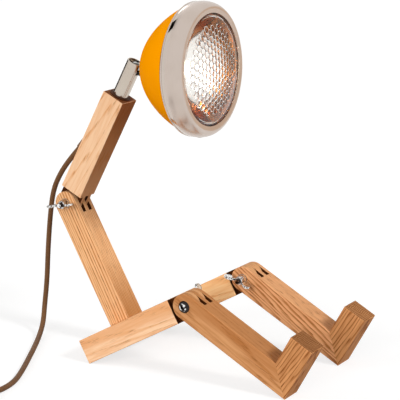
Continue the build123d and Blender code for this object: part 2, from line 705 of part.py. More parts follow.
HANDOVER = tuple((Vector(*HANGING[-1]) + Vector(*LYING[0])) / 2)
DROP_ROUTE = HANGING + [HANDOVER]
RUN_ROUTE = [HANDOVER] + LYING + [along_switch(-20), along_switch(0)]
FEED_ROUTE = [
    along_switch(SWITCH_L),
    along_switch(SWITCH_L + 13),
    (-130.0, -334.5, 3.4),
    (-132.6, -347.5, CORD_R),
]
TAIL_ROUTE = [
    (-206.3, -342.0, CORD_R),
    (-207.0, -330.0, CORD_R),
    (-205.6, -316.0, 4.2),
    (PLUG_X, PLUG_Y - 13.0, PLUG_T / 2),
    (PLUG_X, PLUG_Y, PLUG_T / 2),
]


def cord_coil():
    """The put-away cord: one ring of the outer shape of its turns."""
    width = 2 * CORD_R * COIL_ROWS
    height = 2 * CORD_R * COIL_LAYERS
    section = Pos(COIL_R, height / 2) * RectangleRounded(width, height, CORD_R * 0.9)
    return Pos(COIL_X, COIL_Y, 0) * revolve(Plane.XZ * section, Axis.Z)


def coil_tie():
    """Strap over the coil, open where the coil lies on the table."""
    width = 2 * CORD_R * COIL_ROWS
    height = 2 * CORD_R * COIL_LAYERS
    strap = Pos(COIL_R, (height + TIE_T) / 2) * Rectangle(width + 2 * TIE_T, height + TIE_T)
    strap = fillet(strap.vertices().group_by(Axis.Y)[-1], TIE_T)
    strap -= Pos(COIL_R, height / 2) * Rectangle(width, height)
    return Pos(COIL_X, COIL_Y, 0) * Rot(0, 0, 60) * revolve(Plane.XZ * strap, Axis.Z, TIE_SWEEP)


# ---------------------------------------------------------------- switch
def switch_outline():
    return RectangleRounded(SWITCH_L, SWITCH_W, SWITCH_W * 0.32)


SCREW_SPOTS = [(side * SWITCH_L * 0.34, side * SWITCH_W * 0.22) for side in (-1, 1)]
ROCKER_Z = SWITCH_H - 4.5
ROCKER_PIN_R = 1.5


def switch_base():
    base = extrude(switch_outline(), SWITCH_BASE_T)
    base = chamfer(base.faces().sort_by(Axis.Z)[0].edges(), 0.8)
    for x, y in SCREW_SPOTS:
        base -= Pos(x, y, 0) * Cylinder(2.8, 4.4)
        base -= Pos(x, y, 0) * Cylinder(1.5, 30)
    return base


def switch_top():
    """Upper shell with a well and bearing holes for the rocker."""
    top = extrude(Pos(0, 0, SWITCH_BASE_T) * switch_outline(), SWITCH_H - SWITCH_BASE_T)
    top = fillet(top.faces().sort_by(Axis.Z)[-1].edges(), 2.6)
    well = Box(ROCKER_L + 1.4, ROCKER_W + 0.6, SWITCH_H, align=(Align.CENTER, Align.CENTER, Align.MIN))
    top -= Pos(0, 0, ROCKER_Z - 4.2) * well
    top -= Pos(0, 0, ROCKER_Z) * Cylinder(ROCKER_PIN_R + RUN_GAP, ROCKER_W + 5, rotation=(90, 0, 0))
    for x, y in SCREW_SPOTS:
        top -= Pos(x, y, SWITCH_BASE_T) * Cylinder(1.25, 12)
    return top


def switch_rocker():
    """Rocker with a dished top and two stub pins, tilted to its rest."""
    half = ROCKER_L / 2
    side_view = Polyline((-half, 4.8), (-half + 0.6, -2.4), (half - 0.6, -2.4), (half, 4.8))
    dish = ThreePointArc((half, 4.8), (0, 3.4), (-half, 4.8))
    rocker = slab(make_face(side_view + dish), ROCKER_W)
    rocker += Cylinder(ROCKER_PIN_R, ROCKER_W + 4, rotation=(90, 0, 0))
    return Pos(0, 0, ROCKER_Z) * Rot(0, ROCKER_TILT, 0) * rocker


def switch_screws():
    screws = []
    for x, y in SCREW_SPOTS:
        shank = Cylinder(1.25, 9, align=(Align.CENTER, Align.CENTER, Align.MIN))
        head = Cylinder(2.6, 1.4, align=(Align.CENTER, Align.CENTER, Align.MAX))
        screws.append(Pos(x, y, 2.2) * (shank + head))
    return Compound(children=screws)


# ---------------------------------------------------------------- plug
# The plug lies flat; its local X axis points at its pins.
def plug_body():
    back = Plane.YZ * RectangleRounded(PLUG_W * 0.5, PLUG_T * 0.8, PLUG_T * 0.35)
    front = Plane.YZ.offset(PLUG_L * 0.6) * RectangleRounded(PLUG_W, PLUG_T, PLUG_T * 0.42)
    body = loft(Sketch() + [back, front])
    body += extrude(front, PLUG_L * 0.4)
    return fillet(body.faces().sort_by(Axis.X)[-1].edges(), 1.2)


def plug_relief():
    cone = Cone(3.7, 4.8, RELIEF_L, rotation=(0, 90, 0))
    return Pos(-RELIEF_L / 2, 0, 0) * cone


def plug_pins():
    pins = []
    for side in (-1, 1):
        pin = Cylinder(PLUG_PIN_R, PLUG_PIN_L, rotation=(0, 90, 0))
        tip = pin.edges().filter_by(GeomType.CIRCLE).sort_by(Axis.X)[-1]
        spot = Pos(PLUG_L + PLUG_PIN_L / 2, side * PLUG_PIN_SPREAD / 2, 0)
        pins.append(spot * fillet(tip, PLUG_PIN_R * 0.6))
    return Compound(children=pins)


chest = CHEST_FRAME
parts["upper_torso_block"] = chest * chest_block()
parts["cord_gland"] = chest * gland()
parts["neck_bush"] = chest * neck_bush()
parts["neck_tube"] = chest * neck_tube()
parts["neck_ring"] = chest * neck_ring()
parts["tilt_pin"] = place(PIN_X, 0, PIN_Z) * Cylinder(PIN_R, PIN_L, rotation=(90, 0, 0))
parts["inner_cable"] = tube(INNER_ROUTE, CORD_R)
parts["head_lead"] = tube(LEAD_ROUTE, LEAD_R)
for make in (
    tilt_lug,
    lug_nut,
    head_shell,
    bezel_ring,
    bezel_screw,
    bezel_clips,
    lens,
    lens_gasket,
    reflector,
    lamp_holder,
    led_bulb,
    head_grommet,
    holder_wires,
):
    parts[make.__name__] = HEAD_FRAME * make()

switch = Pos(*along_switch(SWITCH_L / 2)[:2], 0) * Rot(0, 0, SWITCH_HEADING)
for make in (switch_base, switch_top, switch_rocker, switch_screws):
    parts[make.__name__] = switch * make()
plug = Pos(PLUG_X, PLUG_Y + RELIEF_L, PLUG_T / 2) * Rot(0, 0, 90)
for make in (plug_body, plug_relief, plug_pins):
    parts[make.__name__] = plug * make()
parts["cord_coil"] = cord_coil()
parts["coil_tie"] = coil_tie()

ROUTES = {
    "cord_drop": DROP_ROUTE,
    "cord_run": RUN_ROUTE,
    "cord_feed": FEED_ROUTE,
    "cord_tail": TAIL_ROUTE,
}
for node, route in ROUTES.items():
    parts[node] = tube(route, CORD_R)


if __name__ == "__main__":
    os.makedirs("parts", exist_ok=True)
    for node, solid in parts.items():
        export_step(solid, f"parts/{node}.step")
    for node, route in ROUTES.items():
        print(node, "radii", [round(radius) for radius in turns_and_radii(route)])
        length = route_line(route).length
        share = parts[node].volume / (pi * CORD_R**2 * length)
        print(node, "length", round(length, 1), "volume over section times length", round(share, 4))
    print("coil length", round(2 * pi * COIL_R * (COIL_ROWS * COIL_LAYERS - 0.5)))
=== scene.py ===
from math import cos, pi, radians, sin, sqrt

import bmesh
import bpy
from mathutils import Matrix, Vector

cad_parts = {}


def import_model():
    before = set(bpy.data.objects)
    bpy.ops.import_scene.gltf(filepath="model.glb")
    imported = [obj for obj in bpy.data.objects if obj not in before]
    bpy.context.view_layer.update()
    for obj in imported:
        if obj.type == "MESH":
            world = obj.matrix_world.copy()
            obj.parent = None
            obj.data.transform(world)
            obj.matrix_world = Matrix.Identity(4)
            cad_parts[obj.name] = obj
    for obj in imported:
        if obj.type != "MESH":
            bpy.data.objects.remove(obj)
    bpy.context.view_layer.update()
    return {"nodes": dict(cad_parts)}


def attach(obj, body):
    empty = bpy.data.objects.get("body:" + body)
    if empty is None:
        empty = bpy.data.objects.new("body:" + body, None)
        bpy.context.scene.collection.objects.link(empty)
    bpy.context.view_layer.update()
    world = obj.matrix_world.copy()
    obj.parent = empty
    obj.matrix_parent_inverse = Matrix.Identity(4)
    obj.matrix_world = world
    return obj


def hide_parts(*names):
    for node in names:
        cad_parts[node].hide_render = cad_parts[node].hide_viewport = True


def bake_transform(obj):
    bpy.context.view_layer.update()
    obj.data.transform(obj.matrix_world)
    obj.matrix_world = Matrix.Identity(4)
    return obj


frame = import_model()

# A desk lamp in the shape of a seated figure. Metres, in the frame of the CAD
# model: +X where the figure faces, +Y its left, +Z up.

# ---------------------------------------------------------------- places
KNEE_X, KNEE_Z, LEG_Y = 0.03036, 0.08303, 0.066
WAIST = (-0.164633, 0.0, 0.161307)
TILT_PIN = (-0.081825, 0.0, 0.323826)
HEAD_RISE = 2.0  # of the headlamp's axis, in degrees
REST_ANGLE = 29.0  # of arms and shins
CHEST_RISE = 63.0  # of the upper block's grain

# ---------------------------------------------------------------- headlamp glass, from the tilt pin
GLASS_R = 0.0646  # flat edge
DOME_R = 0.0613
GLASS_FRONT = 0.0994
GLASS_BULGE = 0.008
GLASS_T = 0.0024
CELL = 0.0074  # across the flats of one honeycomb cell
CELL_STEPS = ((0.0003, 0.0004), (0.0006, 0.0006), (0.0008, 0.0004), (0.0008, 0.00016))
CELLS_REACH = 0.0485  # middles of the outermost cells
CELLS_BORDER = 0.0565
CELLS_RIB = ((0.0571, 0.0007), (0.0578, 0.0007), (0.0584, 0.0))  # radius and height of the rib round them
DOME_LIP = 0.001  # plain glass between that rib and the flat edge
DOME_RINGS = 14  # from the edge of the smooth front to its middle
RING_POINTS = 144
GLASS_CREASE = 28.0  # degrees above which an edge of the glass stays sharp

# ---------------------------------------------------------------- cord
CORD_R = 0.003
CORD_SIDES = 16
CORD_STEPS = 8  # between two control points
CORD_EXIT = (-0.15385, 0, 0.22539)
HANGING = [
    CORD_EXIT,
    (-0.16486, 0, 0.21378),
    (-0.1801, 0, 0.1945),
    (-0.1916, 0, 0.172),
    (-0.1964, 0, 0.140),
    (-0.2001, 0, 0.100),
]
LYING = [
    (-0.2021, 0, 0.063),
    (-0.2056, -0.001, 0.0305),
    (-0.2016, -0.010, 0.0131),
    (-0.1960, -0.0255, CORD_R),
    (-0.1753, -0.065, CORD_R),
    (-0.1556, -0.105, CORD_R),
    (-0.1376, -0.142, CORD_R),
    (-0.1216, -0.179, CORD_R),
    (-0.1175, -0.204, CORD_R),
    (-0.11621, -0.22614, 0.005),
    (-0.1186, -0.246, 0.005),
]
SWITCH_OUT = (-0.12599, -0.30756, 0.005)
FEED = [
    SWITCH_OUT,
    (-0.12755, -0.32046, 0.005),
    (-0.1300, -0.3345, 0.0034),
]
TAIL = [
    (-0.2063, -0.342, 0.0075),
    (-0.2070, -0.330, 0.0042),
    (-0.2056, -0.316, 0.0042),
    (-0.2046, -0.302, 0.007),
    (-0.2046, -0.289, 0.007),
]
COIL_MIDDLE = (-0.1696, -0.353)
COIL_START = 8.0  # degrees from +X where the cord meets the coil
COIL_POINTS = 16  # in one turn
# Radius and height of each turn, in the order in which the cord takes them.
COIL_TURNS = [
    (0.036, 0.003),
    (0.030, 0.003),
    (0.030, 0.009),
    (0.030, 0.015),
    (0.036, 0.015),
    (0.036, 0.009),
]
LAST_TURN = 0.5
TURN_CHANGE = 0.2  # share of a turn in which the cord moves over to the next

# Lead between the neck tube and the headlamp.
LEAD_R = 0.0016
LEAD_SIDES = 12
LEAD = [(-0.0920, 0, 0.3039), (-0.0844, 0, 0.3188), (-0.0691, 0, 0.3136), (-0.0651, 0, 0.3137)]

# ---------------------------------------------------------------- camera
CAMERA_PLACE = (0.89815, -1.58564, 0.58375)
CAMERA_YAW = 29.424
CAMERA_PITCH = 12.455
CAMERA_ROLL = 0.253
CAMERA_LENS = 152.2


def linear(channel):
    """One channel of 0 to 255 in linear light."""
    if channel > 10:
        return ((channel / 255 + 0.055) / 1.055) ** 2.4
    return channel / 255 / 12.92


def srgb(red, green, blue):
    """A colour of 0 to 255 per channel, as a shader takes it."""
    return (linear(red), linear(green), linear(blue), 1.0)


# ---------------------------------------------------------------- floor, sky and cards
WHITE, BLACK = (1, 1, 1, 1), (0, 0, 0, 1)
FLOOR_SHOWN = (0.34, 0.34, 0.34, 1)  # where the floor is looked at
FLOOR_GLOW = 0.74
FLOOR_BOUNCE = (0.32, 0.27, 0.22, 1)  # where it only throws light back
SKY_TINT = (1, 0.985, 0.965, 1)
SKY_STRENGTH = 0.28
CARDS_MIDDLE = (0, 0, 0.3)
CARDS_AWAY = 2.0  # from that middle


# ---------------------------------------------------------------- materials
def socket_name(keyword):
    """The name of a shader's socket, from a keyword such as Specular_IOR_Level."""
    return keyword.replace("_", " ").title().replace("Ior", "IOR")


def fill(shader, **values):
    """Gives a shader node its fixed values."""
    for keyword, value in values.items():
        shader.inputs[socket_name(keyword)].default_value = value


class Value:
    """A shader socket that takes part in arithmetic."""

    def __init__(self, finish, socket):
        self.finish = finish
        self.socket = socket

    def math(self, operation, *values):
        return self.finish.math(operation, *values)

    def __add__(self, other):
        return self.math("ADD", self, other)

    def __sub__(self, other):
        return self.math("SUBTRACT", self, other)

    def __rsub__(self, other):
        return self.math("SUBTRACT", other, self)

    def __mul__(self, other):
        return self.math("MULTIPLY", self, other)

    def __truediv__(self, other):
        return self.math("DIVIDE", self, other)

    def __pow__(self, other):
        return self.math("POWER", self, other)

    def sine(self):
        return self.math("SINE", self)

    def part(self):
        """What is left above the whole number."""
        return self.math("FRACT", self)

    def clamp(self):
        return self.math("MINIMUM", self.math("MAXIMUM", self, 0.0), 1.0)

    def band(self, low, high):
        """0 below low, 1 above high, and smooth between them."""
        steps = {"interpolation_type": "SMOOTHSTEP"}
        return self.finish.node("MapRange", steps, self, low, high, 0.0, 1.0)

    def output(self, name):
        return Value(self.finish, self.socket.node.outputs[name])

    __radd__ = __add__


class Finish:
    """A material made of node calls and of arithmetic on their values."""

    def __init__(self, name, **fixed):
        self.material = bpy.data.materials.new(name)
        self.material.use_nodes = True
        self.tree = self.material.node_tree
        self.shader = self.tree.nodes["Principled BSDF"]
        for socket, value in fixed.items():
            self.set(socket, value)

    def set(self, socket, value):
        self.join(value, self.shader.inputs[socket_name(socket)])

    def join(self, value, socket):
        if isinstance(value, Value):
            self.tree.links.new(value.socket, socket)
        else:
            socket.default_value = value

    def node(self, kind, settings, *values, **named):
        """A node with its settings made first, then its sockets in order or by name."""
        made = self.tree.nodes.new("ShaderNode" + kind)
        for setting, value in settings.items():
            setattr(made, setting, value)
        enabled = [socket for socket in made.inputs if socket.enabled]
        for value, socket in zip(values, enabled):
            self.join(value, socket)
        for name, value in named.items():
            self.join(value, made.inputs[name.title()])
        return Value(self, next(socket for socket in made.outputs if socket.enabled))

    def math(self, operation, *values):
        return self.node("Math", {"operation": operation}, *values)

    def place(self, origin=(0, 0, 0), turn=(0, 0, 0)):
        """Object coordinates seen from a block's own origin and axes."""
        spot = self.node("TexCoord", {}).output("Object")
        return self.node("Mapping", {"vector_type": "TEXTURE"}, spot, origin, turn)

    def noise(self, spot, scale, detail, roughness=0.5):
        return self.node("TexNoise", {}, vector=spot, scale=scale, detail=detail, roughness=roughness)

    def grain(self, spot, closeness, detail, roughness=0.5):
        """Noise that is drawn out along X: how close it lies along X, and across it."""
        along, across = closeness
        spot = self.node("Mapping", {}, spot, (0, 0, 0), (0, 0, 0), (along, across, across))
        return self.noise(spot, 1.0, detail, roughness)

    def mix(self, share, first, second):
        return self.node("Mix", {"data_type": "RGBA"}, share, first, second)

    def bump(self, height, distance, strength=1.0):
        bump = self.node("Bump", {}, strength=strength, distance=distance, height=height)
        self.set("Normal", bump)


def dress(finish, *nodes):
    """Gives CAD nodes one material."""
    for name in nodes:
        mesh = frame["nodes"][name].data
        mesh.materials.clear()
        mesh.materials.append(finish.material)


def ash(name, origin, turn, tones, pith, slant=(0.0, 0.0), spacing=0.0026, depth=1.0, wave=1.0, width=0.5,
        top=1.0, ends=0.4, fine=0.42, comb=1.0, streak=None, shade=None, tip=None):
    """Oiled ash whose grain runs along X of the block's own axes.

    tones are its late wood, its early wood and its pores. pith is the middle
    of the growth rings, across the block and through it, slant is how fast it
    drifts both ways along the grain, and wave is how much the rings wander.
    width is the share of early wood in a ring, top is how strong the rings are
    away from the sides, ends is how much darker the end grain is (set high, it
    also paints shade on the end), fine is the strength of the fine grain, and
    comb that of the painted shade inside a hinge. streak is a broad darker band
    along the block: its lower and upper edge, through the block, and its
    strength. shade is painted shade on the front or back: 1 or -1 for the face,
    where it starts and is full along the grain, and its strength. tip is the
    tone of rounded fingers that differ from their block.
    """
    late, early, pore = tones
    finish = Finish(name, Specular_IOR_Level=0.02)
    spot = finish.place(origin, turn)
    axes = finish.node("SeparateXYZ", {}, spot)
    along, across, depth_in = axes.output("X"), axes.output("Y"), axes.output("Z")
    drift = finish.grain(spot, DRIFT, 1.0) - 0.5
    waver = finish.grain(spot, WAVER, 1.0) - 0.5
    uneven = finish.grain(spot, UNEVEN, 1.0) - 0.5
    across = across - pith[0] + along * slant[0] + drift * (0.006 * wave)
    through = depth_in - pith[1] + along * slant[1] + waver * (0.0026 * wave)
    radius = (across * across + through * through) ** 0.5
    facing = finish.node("TexCoord", {}).output("Normal")
    facing = finish.node("Mapping", {"vector_type": "TEXTURE"}, facing, (0, 0, 0), turn)
    facing = finish.node("SeparateXYZ", {}, facing)
    sideways = finish.math("ABSOLUTE", facing.output("Y")).band(0.5, 0.9)
    end = finish.math("ABSOLUTE", facing.output("X")).band(0.9, 0.98)
    # A cut end shows closer rings, and little of their wander along the grain.
    wander = drift * (1.2 * wave) + uneven * (0.9 + 0.5 * wave)
    rings = (radius / spacing) * (end * 0.9 + 1) + wander * (1 - end * 0.75)
    phase = rings.part()
    porous = 1 - phase.band(0.1 * width, width) + phase.band(0.92, 1.0)
    fibre = finish.grain(spot, FIBRE, 3.0, 0.6)
    figure = finish.grain(spot, FIGURE, 2.0, 0.6)
    fleck = finish.grain(spot, FLECK, 1.0)
    broad = finish.grain(spot, BROAD, 2.0)
    pores = fleck.band(0.56, 0.68) * (porous * 0.85 + 0.1)
    stripe = porous * fibre.band(0.2, 0.6) * (broad * 2.2 - 0.15) * depth * (sideways * (1 - top) + top)
    colour = finish.mix(stripe.clamp(), late, early)
    colour = finish.mix((figure.band(0.3, 0.75) * fine + broad * 0.2).clamp(), colour, early)
    if streak:
        low, high, strength = streak
        edge = depth_in + drift * 0.012
        above = edge.band(low - STREAK_EDGE, low + STREAK_EDGE)
        below = 1 - edge.band(high - STREAK_EDGE, high + STREAK_EDGE)
        colour = finish.mix(above * below * strength, colour, early)
    colour = finish.mix((pores * 0.75 * depth).clamp(), colour, pore)
    # Painted shade on the chosen front or back face, growing along the grain.
    if shade:
        side, start, full, strength = shade
        face = (facing.output("Z") * side).band(0.9, 0.98)
        colour = finish.mix(face * along.band(start, full) * strength, colour, PAINTED_SHADE_TONE)
    # Cut ends drink more oil and show darker, and a high ends also paints shade on them. The cheeks and
    # bottoms of the comb near a hinge get painted shade.
    colour = finish.mix(end * (ends + stripe * 0.7).clamp(), colour, pore)
    inside = 1 - finish.math("ABSOLUTE", axes.output("Y")).band(COMB_OUTSIDE, COMB_OUTSIDE + 0.0006)
    away = (along * along + depth_in * depth_in) ** 0.5
    if tip:
        colour = finish.mix(1 - away.band(COMB_TIP + 0.0008, COMB_TIP + 0.0014), colour, tip)
    near = 1 - away.band(COMB_REACH, COMB_REACH + 0.001)
    bottom = end * away.band(COMB_TIP, COMB_TIP + 0.0005)
    colour = finish.mix(near * inside * finish.math("MAXIMUM", sideways, bottom * comb), colour, COMB_SHADE_TONE)
    finish.set("Base Color", colour)
    finish.set("Roughness", 0.44 + pores * 0.25 + fibre * 0.12)
    finish.bump(fibre * 0.5 - pores, 0.00012, 0.5)
    return finish


def zinc_plate(name, colour):
    """Dull plate with faint clouds of handling."""
    finish = Finish(name, Metallic=1.0)
    smudge = finish.noise(finish.place(), 90.0, 3.0)
    finish.set("Base Color", finish.mix(smudge.band(0.35, 0.75) * 0.18, colour, srgb(120, 112, 104)))
    finish.set("Roughness", 0.25 + smudge * 0.15)
    return finish


def chromed_bolt(name, socket):
    """Chrome with a painted highlight on the dome and painted dark reflection at its rim, and in the
    socket if it has one, broken into patches of painted glints.
    """
    finish = Finish(name, Metallic=1.0)
    facing = finish.node("SeparateXYZ", {}, finish.node("TexCoord", {}).output("Normal"))
    dome = finish.math("ABSOLUTE", facing.output("Y"))
    # Painted highlight on the face of the dome, with painted dark reflection at the rim and in the socket,
    # broken up by patches of painted glints.
    painted_highlight = dome.band(0.78, 0.88)
    if socket:
        painted_highlight = painted_highlight * (1 - dome.band(0.985, 0.995))
    painted_glint_patch = finish.noise(finish.place(), 330.0, 1.0).band(0.44, 0.56)
    finish.set("Base Color", finish.mix(painted_highlight * painted_glint_patch, srgb(52, 48, 46), srgb(250, 248, 246)))
    finish.set("Roughness", 0.06 + painted_glint_patch * 0.03)
    return finish


def cast_chrome(name):
    """Chrome over a rough casting, with painted glints on its high places and painted dark reflection
    between them.
    """
    finish = Finish(name, Metallic=1.0)
    painted_glint_patch = finish.noise(finish.place(), 520.0, 1.0).band(0.3, 0.62)
    # Painted glints and painted dark reflection, by the same patches that raise the casting's bumps.
    finish.set("Base Color", finish.mix(painted_glint_patch, srgb(104, 99, 95), srgb(242, 240, 237)))
    finish.set("Roughness", 0.08 + painted_glint_patch * 0.04)
    finish.bump(painted_glint_patch, 0.0002, 0.6)
    return finish


def nickel_plate(name, colour, roughness):
    """Smooth nickel plate, a little clouded."""
    finish = Finish(name, Metallic=1.0)
    spot = finish.place()
    fine = finish.noise(spot, 700.0, 2.0)
    cloud = finish.noise(spot, 34.0, 2.0)
    finish.set("Base Color", finish.mix(cloud.band(0.3, 0.8) * 0.3, colour, NICKEL_CLOUD))
    finish.set("Roughness", roughness + fine * 0.05)
    return finish


def bezel_plate(name, colour, rim):
    """Satin nickel on the ring's side and front, and bright plate on its rolled back edge."""
    finish = Finish(name, Metallic=1.0)
    spot = finish.place(TILT_PIN, lean(HEAD_RISE))
    bright = 1 - finish.node("SeparateXYZ", {}, spot).output("X").band(*BRIGHT_RIM)
    cloud = finish.noise(spot, 34.0, 2.0)
    satin = finish.mix(cloud.band(0.3, 0.8) * 0.3, colour, NICKEL_CLOUD)
    finish.set("Base Color", finish.mix(bright, satin, rim))
    finish.set("Roughness", 0.27 - bright * 0.22 + cloud * 0.03)
    return finish


def gloss_enamel(name, colour):
    """Enamel with painted shade in its last millimetre, in the gap where it meets the bezel."""
    finish = Finish(name, Roughness=0.55, Specular_IOR_Level=0.0, Coat_Weight=0.02, Coat_Roughness=0.1)
    spot = finish.place(TILT_PIN, lean(HEAD_RISE))
    painted_seam_shade = finish.node("SeparateXYZ", {}, spot).output("X").band(*ENAMEL_SEAM_SHADE)
    cloud = finish.noise(spot, 60.0, 3.0)
    even = finish.mix(cloud * 0.12, colour, srgb(255, 150, 0))
    # Painted shade in the gap at the bezel.
    finish.set("Base Color", finish.mix(painted_seam_shade * 0.85, even, srgb(66, 34, 8)))
    peel = finish.noise(spot, 420.0, 1.0)
    finish.bump(peel, 0.00003, 0.2)
    return finish


def moulded(name, colour, roughness=0.45, grain=1400.0, shine=0.5):
    """Moulded plastic or rubber with a fine eroded surface."""
    finish = Finish(name, Specular_IOR_Level=shine)
    spot = finish.place()
    texture = finish.noise(spot, grain, 2.0)
    cloud = finish.noise(spot, 70.0, 2.0)
    lighter = tuple(min(1.0, c * 1.7 + 0.004) for c in colour[:3]) + (1.0,)
    finish.set("Base Color", finish.mix(cloud.band(0.3, 0.8) * 0.4, colour, lighter))
    finish.set("Roughness", roughness + texture * 0.15)
    finish.bump(texture, 0.00004, 0.5)
    return finish


def pressed_glass(name):
    """Clear glass, faintly rippled by its mould."""
    finish = Finish(name, Transmission_Weight=1.0, IOR=1.36, Base_Color=srgb(254, 254, 253),
                    Specular_IOR_Level=0.0, Specular_Tint=(0, 0, 0, 1))
    ripple = finish.noise(finish.place(), 160.0, 2.0)
    finish.set("Roughness", 0.02 + ripple * 0.03)
    return finish


def mirror_coat(name):
    """Vapour-plated reflector, a little uneven, with a painted warm brown reflection towards its mouth."""
    finish = Finish(name, Metallic=1.0)
    spot = finish.place(TILT_PIN, lean(HEAD_RISE))
    depth = finish.node("SeparateXYZ", {}, spot).output("X")
    cloud = finish.noise(spot, 45.0, 2.0)
    bright = finish.mix(cloud * 0.4, srgb(255, 254, 252), srgb(240, 232, 220))
    # Painted reflection: a warm brown towards the mouth of the reflector, for the warm surroundings it
    # mirrors.
    painted_warm_reflection = finish.mix(cloud.band(0.35, 0.65), srgb(150, 80, 16), srgb(196, 116, 34))
    finish.set("Base Color", finish.mix((depth + cloud * 0.006).band(0.072, 0.083), bright, painted_warm_reflection))
    finish.set("Roughness", 0.1 + cloud * 0.1)
    finish.bump(cloud, 0.0004, 0.4)
    return finish


def braid(name):
    """Textile sheath: two sets of threads that cross, with fluff and faint clouds over them."""
    finish = Finish(name, Sheen_Weight=0.08, Sheen_Roughness=0.5, Roughness=0.85, Specular_IOR_Level=0.2)
    lie = finish.node("SeparateXYZ", {}, finish.node("UVMap", {"uv_map": "sheath"}))
    around, along = lie.output("X"), lie.output("Y")
    threads, pitch = 12, 620.0
    left = ((around * threads + along * pitch) * (2 * pi)).sine()
    right = ((around * threads - along * pitch) * (2 * pi)).sine()
    over = finish.math("MAXIMUM", left, right)
    weave = over * 0.5 + 0.5
    fluff = finish.noise(finish.place(), 900.0, 2.0)
    cloud = finish.noise(finish.place(), 55.0, 2.0)
    dark, light = srgb(54, 34, 20), srgb(146, 106, 72)
    colour = finish.mix((weave * 0.7 + fluff * 0.3).clamp(), dark, light)
    colour = finish.mix(cloud * 0.4, colour, srgb(78, 48, 28))
    finish.set("Base Color", colour)
    finish.bump(weave + fluff * 0.4, 0.0003, 0.7)
    return finish


# Late wood, early wood and pores of each kind of board.
PALE = (srgb(252, 214, 176), srgb(228, 160, 104), srgb(134, 78, 38))
# CREAM is lightened as painted light for the left arm, against the shadow the right arm casts on it.
CREAM = (srgb(255, 212, 158), srgb(238, 168, 106), srgb(160, 104, 54))
HONEY = (srgb(246, 198, 148), srgb(202, 130, 74), srgb(136, 80, 40))
ROSY = (srgb(236, 176, 126), srgb(176, 112, 66), srgb(120, 70, 38))
TAN = (srgb(216, 160, 110), srgb(176, 112, 62), srgb(110, 64, 32))
BROWN = (srgb(220, 158, 104), srgb(146, 86, 44), srgb(100, 56, 26))
# Tone of the painted shade on a block's front or back.
PAINTED_SHADE_TONE = srgb(166, 94, 14)
# How close the noises of the wood lie, along the grain and across it.
DRIFT, WAVER, UNEVEN, BROAD = (7, 26), (20, 70), (3, 150), (9, 45)
FIBRE, FIGURE, FLECK = (16, 900), (26, 430), (95, 1500)
STREAK_EDGE = 0.003  # half the width of a streak's soft edges
# The inside of a comb hinge, which gets painted shade: up to this far from the block's middle, and between
# a finger's tip and this far from the pin.
COMB_SHADE_TONE = srgb(70, 36, 14)
COMB_OUTSIDE, COMB_TIP, COMB_REACH = 0.0138, 0.0147, 0.024
# Along the lamp's axis: the end of the bezel's bright edge, and the enamel's last millimetre, which is
# painted with shade.
BRIGHT_RIM = (0.0836, 0.0848)
ENAMEL_SEAM_SHADE = (0.0752, 0.0758)
NICKEL_CLOUD = srgb(184, 168, 154)
HINGES = ("right_knee", "left_knee", "waist")


def lean(rise):
    """The turn of a block whose grain rises by so many degrees."""
    return (0, radians(-rise), 0)


def dress_timber():
    """Every block from its own board: where its rings are centred, how they drift, how wide they are."""
    knees = {side: (KNEE_X, y, KNEE_Z) for side, y in (("right", -LEG_Y), ("left", LEG_Y))}
    boards = [
        ("right_shin", knees["right"], -REST_ANGLE, TAN, (0.05, 0.03), (0.05, 0.03),
         dict(spacing=0.0065, depth=0.7, wave=0.6, top=0.6, streak=(0.004, 0.03, 0.5))),
        ("left_shin", knees["left"], -REST_ANGLE, ROSY, (0.004, 0.060), (0.0, 0.15),
         dict(spacing=0.0042, depth=1.25, wave=1.9, width=0.6, top=0.12, fine=0.3)),
        # Both feet take painted shade on their soles.
        ("right_foot", knees["right"], 90 - REST_ANGLE, BROWN, (0.012, 0.055), (0.02, 0.09),
         dict(spacing=0.0034, depth=1.0, wave=1.7, width=0.4, ends=0.5, shade=(-1, -1, -0.9, 0.2))),
        ("left_foot", knees["left"], 90 - REST_ANGLE, BROWN, (-0.010, 0.050), (0.0, 0.06),
         dict(spacing=0.0038, depth=0.95, wave=1.7, width=0.4, ends=0.3, shade=(-1, -1, -0.9, 0.2))),
        ("right_hip_arm", knees["right"], REST_ANGLE, PALE, (0.05, 0.03), (0.05, 0.02),
         dict(spacing=0.0050, depth=0.6, wave=0.6, streak=(0.001, 0.03, 0.6), tip=TAN[0])),
        # Its tones are lightened as painted light, to make up for the shadow that the right arm casts on
        # it.
        ("left_hip_arm", knees["left"], REST_ANGLE, CREAM, (0.034, 0.022), (0.12, 0.05),
         dict(spacing=0.0060, depth=0.8, wave=1.0, tip=TAN[0])),
        # Painted shade on its front face, darker towards its foot near the arms.
        ("lower_torso_block", WAIST, REST_ANGLE - 90, HONEY, (0.060, 0.060), (0.01, 0.01),
         dict(spacing=0.0021, depth=1.35, wave=0.4, width=0.5, fine=0.2, shade=(1, 0.07, 0.15, 0.6))),
        # Painted shade on its front face and, through the high ends, on its top end, for the headlamp's
        # shadow over them.
        ("upper_torso_block", WAIST, CHEST_RISE, PALE, (0.004, 0.090), (0.0, 0.19),
         dict(spacing=0.0115, depth=0.6, wave=0.5, width=0.22, ends=0.9, fine=0.28, comb=0.3,
              shade=(-1, -0.12, 0.12, 0.85))),
    ]
    for node, origin, rise, tones, pith, slant, grain in boards:
        dress(ash("ash_" + node, origin, lean(rise), tones, pith, slant, **grain), node)
    middle = (KNEE_X, 0.0, KNEE_Z)
    crossways = (radians(REST_ANGLE), 0, radians(90))
    dress(ash("ash_crossbar", middle, crossways, HONEY, (0.05, 0.03)), "pelvis_crossbar")
    dowel = ash("beech_dowel", middle, lean(REST_ANGLE), HONEY, (0.03, 0.03))
    dress(dowel, "right_foot_dowels", "left_foot_dowels", "pelvis_dowels")


